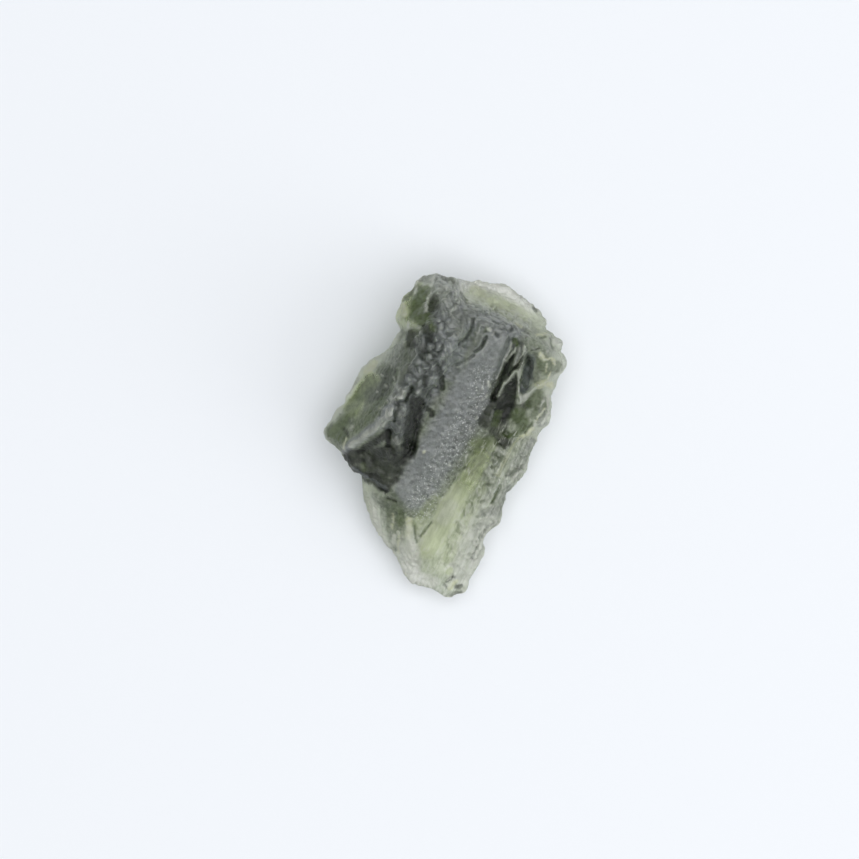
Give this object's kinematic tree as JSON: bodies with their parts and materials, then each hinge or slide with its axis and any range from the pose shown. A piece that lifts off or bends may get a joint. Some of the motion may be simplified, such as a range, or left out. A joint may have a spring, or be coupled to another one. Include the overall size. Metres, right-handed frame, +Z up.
{
  "type": "moldavite",
  "caption": "Rough natural piece of green glass, with a knobbly ridge, a smooth slanting face, a thin pointed end and a small flat spot that it rests on.",
  "frame": {"origin": "under the middle of the stone's outline, on the plane of the flat spot that it rests on", "axes": "+Z up, +Y along the stone's long side from the thin pointed end to the broad end, +X to the right as seen from above"},
  "size_m": [0.015, 0.02, 0.0087],
  "materials": {
    "green_glass": "etched and frosted, with smooth windows"
  },
  "bodies": {
    "root": {"moldavite": "green_glass"}
  },
  "joints": []
}
